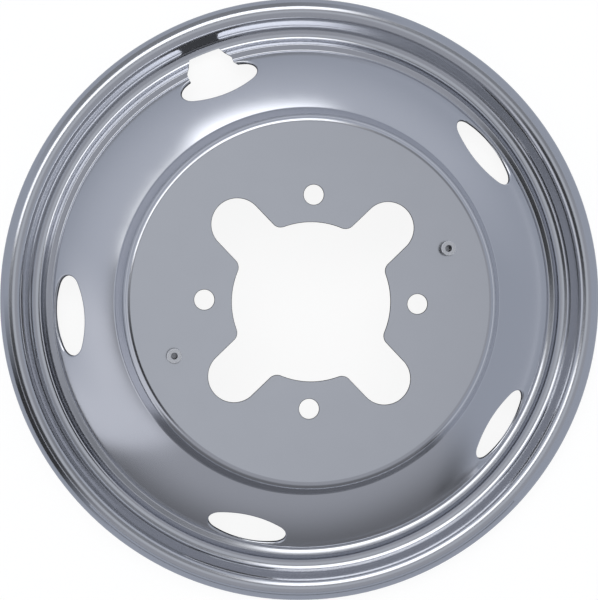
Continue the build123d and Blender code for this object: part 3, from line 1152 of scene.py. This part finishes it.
def studio_world(studio):
    """Grey room with a wide window high on one side, as soft light for polished metal; angles in degrees."""
    world = bpy.data.worlds.new("Studio room")
    world.use_nodes = True
    world.node_tree.nodes.clear()
    node = partial(add_node, world.node_tree)
    smooth = {"interpolation_type": "SMOOTHSTEP"}
    way = node("ShaderNodeTexCoord").outputs["Generated"]
    azimuth = turn_of(node, way)
    tilt = node(MATH, (node("ShaderNodeSeparateXYZ", (way,)).outputs["Z"],), operation="ARCCOSINE")
    tilt = node(MATH, (tilt, 180 / pi), operation="MULTIPLY")

    def past(start, lean):
        """How far the azimuth lies past a line that leans with the tilt."""
        line = node(MATH, (tilt, lean, start), operation="MULTIPLY_ADD")
        return node(MATH, (azimuth, line), operation="SUBTRACT")

    def inside(*edges):
        """How far a direction lies inside soft edges, each a value with its start, end and levels."""
        share = 1.0
        for edge in edges:
            share = node(MATH, (share, node(MAP_RANGE, edge, **smooth)), operation="MULTIPLY")
        return share

    # Room from the ceiling down to the horizon, each part below a soft edge at a tilt
    grey, shade, dark = studio.upper_grey, studio.upper_shade, studio.wall_dark
    wall, light, pale = studio.wall_grey, studio.wall_light, studio.wall_pale
    upper = ((0, grey), (12, grey), (24, shade), (190, shade), (224, grey), (359, grey))
    middle = ((0, wall), (30, light), (162, light), (177, pale), (218, pale))
    middle += ((224, grey), (308, grey), (318, wall))
    horizon = ((0, pale), (219, pale), (224, dark), (304, dark), (311, pale), (359, pale))
    leaning = past(34.5, -0.5)
    room = (*studio.ceiling, 1)
    for start, end, heading, stops in (
        (5.0, 20.0, azimuth, upper),
        (36.0, 44.0, leaning, middle),
        (47.0, 74.0, leaning, lower_walls(studio)),
        (72.0, 77.0, azimuth, horizon),
    ):
        below = node(MAP_RANGE, (tilt, start, end), **smooth)
        tints = {0: below, 6: room, 7: round_room(node, heading, stops)}
        room = node(MIX, tints, data_type="RGBA").outputs[2]

    # Dark drape beside the camera, narrower further down
    drape = inside(
        (azimuth, 184.0, 192.0),
        (past(247.0, -0.5), -4.0, 4.0, 1.0, 0.0),
        (tilt, 6.0, 14.0),
        (tilt, 34.0, 42.0, 1.0, 0.0),
    )
    room = node(MIX, {0: drape, 6: room, 7: (*studio.drape, 1)}, data_type="RGBA").outputs[2]

    # Window of three panes, the first of which reaches lower
    sill = node(MAP_RANGE, (azimuth, 116.0, 132.0, 45.0, 38.5), **smooth)
    under = node(MATH, (tilt, sill), operation="SUBTRACT")
    edges = [
        (past(52.5, 0.49), -3.0, 6.0),
        (azimuth, 167.0, 169.0, 1.0, 0.0),
        (tilt, 17.0, 26.0),
        (under, -5.0, 4.0, 1.0, 0.0),
    ]
    seam_core = 0.3
    for start, lean, width, depth in ((112.5, 0.27, 3.0, 0.5), (148.0, 0.2, 1.2, 0.97)):
        off = node(MATH, (past(start, lean),), operation="ABSOLUTE")
        edges.append((off, width * seam_core, width, 1.0 - depth, 1.0))
    bright = node(MATH, (inside(*edges), studio.window_level), operation="MULTIPLY")
    background = node("ShaderNodeBackground", {"Color": room, "Strength": 1.0})
    daylight = node("ShaderNodeBackground", {"Color": (1.0, 1.0, 1.0, 1), "Strength": bright})
    node("ShaderNodeOutputWorld", (node("ShaderNodeAddShader", (background, daylight)),))
    return world


def ring_card(name, profile, stops, span=(0, 360), steps=128):
    """Glowing card as a ring round the wheel axis, over a span of azimuths; only the polished metal shows it.
    """
    material, node = start_material("Glowing ring card")
    place = node("ShaderNodeTexCoord").outputs["Object"]
    greys = round_room(node, turn_of(node, place), stops)
    glow = node("ShaderNodeEmission", {"Color": greys, "Strength": 1.0})
    node("ShaderNodeOutputMaterial", {"Surface": glow})
    points, faces = [], []
    for i in range(steps):
        points.extend(turned(radius, height, 2 * pi * i / steps) for radius, height in profile)
        here, there = 2 * i, 2 * ((i + 1) % steps)
        if (360 * (i + 0.5) / steps - span[0]) % 360 < span[1] - span[0]:
            faces.append((here, here + 1, there + 1, there))
    mesh = bpy.data.meshes.new(name)
    mesh.from_pydata([tuple(p) for p in points], [], faces)
    mesh.materials.append(material)
    card = new_object(name, mesh)
    card.visible_camera = False
    card.visible_diffuse = False
    card.visible_transmission = False
    card.visible_shadow = False


def add_cards(studio):
    """Cards that keep the white board out of the steep sides of the rim, and a dark card of painted shade in
    the hollow under the cover.
    """
    grey, shade, drape = studio.wall_grey, studio.upper_shade, studio.drape
    plain_grey, plain_dark, plain_hollow_shade = (
        ((0, tint), (359, tint)) for tint in (grey, studio.wall_dark, studio.hollow)
    )
    # The upright card is open towards the near end, over a sill, and lets a dark ground show there
    opening, rest = (226, 318), (318, 226 + 360)
    right = ((0, grey), (70, grey), (95, shade), (138, shade), (158, grey), (180, grey))
    upright = (*right, (198, drape), (216, drape), (232, grey), (359, grey))
    foot, waist, sill, top = (
        (studio.card_radius, height)
        for height in (0.0, studio.card_waist, studio.card_sill, studio.card_rise)
    )
    rim = (studio.card_outer_radius, studio.card_height)
    ring_card("rim_card", (foot, waist), plain_grey)
    ring_card("drape_card", (waist, sill), upright)
    ring_card("upper_card", (sill, top), upright, span=rest)
    ring_card("wall_card", (top, rim), lower_walls(studio))
    under_top = (top[0], top[1] - GAP)
    lip = (studio.card_lip_radius, under_top[1] + studio.card_lip_rise)
    ring_card("lip_card", (under_top, lip), plain_grey, span=opening)
    ground_edge, ground_end = (studio.card_radius + GAP, GAP), (studio.ground_radius, GAP)
    far_top = (studio.ground_radius, studio.ground_rise)
    ring_card("ground_card", (ground_edge, ground_end), plain_dark, span=opening)
    ring_card("far_card", (ground_end, far_top), plain_dark, span=opening)
    # Painted shade in the hollow under the cover, seen only in the metal
    hollow = ((radius, studio.hollow_height) for radius in (studio.hollow_bore, studio.hollow_radius))
    ring_card("hollow_card", tuple(hollow), plain_hollow_shade)


class WHEELCOVER_OT_stage(bpy.types.Operator):
    """Set up the floor, the light and the camera"""

    bl_idname = "wheel_cover.stage"
    bl_label = "Set Up Stage"

    def execute(self, context):
        studio = context.scene.wheel_cover.studio
        half = studio.floor_width / 2
        mesh = bpy.data.meshes.new("floor")
        corners = [(-half, -half, 0), (half, -half, 0), (half, half, 0), (-half, half, 0)]
        mesh.from_pydata(corners, [], [(0, 1, 2, 3)])
        mesh.materials.append(white_board(studio))
        new_object("floor", mesh)
        add_cards(studio)
        context.scene.world = studio_world(studio)
        lens = bpy.data.cameras.new("camera")
        lens.sensor_width = 36.0
        lens.sensor_fit = "HORIZONTAL"
        lens.lens = studio.focal_length
        lens.clip_start, lens.clip_end = 0.05, 50.0
        camera = new_object("camera", lens)
        view = Matrix.Identity(3)
        for turn, axis in zip(studio.camera_turn, "XYZ"):
            view = Matrix.Rotation(turn, 3, axis) @ view
        camera.matrix_world = Matrix.Translation(studio.camera_place) @ view.transposed().to_4x4()
        context.scene.camera = camera
        context.scene.view_settings.view_transform = "Standard"
        return {"FINISHED"}


class WHEELCOVER_PT_panel(bpy.types.Panel):
    """Settings and steps of the wheel cover"""

    bl_idname = "WHEELCOVER_PT_panel"
    bl_label = "Wheel Cover"
    bl_space_type = "VIEW_3D"
    bl_region_type = "UI"
    bl_category = "Wheel Cover"

    def draw(self, context):
        cover = context.scene.wheel_cover
        for step in STEPS:
            self.layout.operator(step.bl_idname)
        for group in (cover.sheet, cover.openings, cover.standoffs, cover.finish, cover.studio):
            box = self.layout.box()
            for name in own_names(group):
                box.prop(group, name)


STEPS = (WHEELCOVER_OT_liner, WHEELCOVER_OT_standoffs, WHEELCOVER_OT_stage)
GROUPS = (SheetSizes, OpeningSizes, StandoffSizes, FinishColours, StudioSettings, WheelCoverSettings)
CLASSES = (*GROUPS, *STEPS, WHEELCOVER_PT_panel)


def register():
    for kind in CLASSES:
        bpy.utils.register_class(kind)
    bpy.types.Scene.wheel_cover = PointerProperty(type=WheelCoverSettings)


def unregister():
    del bpy.types.Scene.wheel_cover
    for kind in reversed(CLASSES):
        bpy.utils.unregister_class(kind)


def main():
    register()
    bpy.ops.wheel_cover.liner()
    bpy.ops.wheel_cover.standoffs()
    bpy.ops.wheel_cover.stage()


if __name__ == "__main__":
    main()
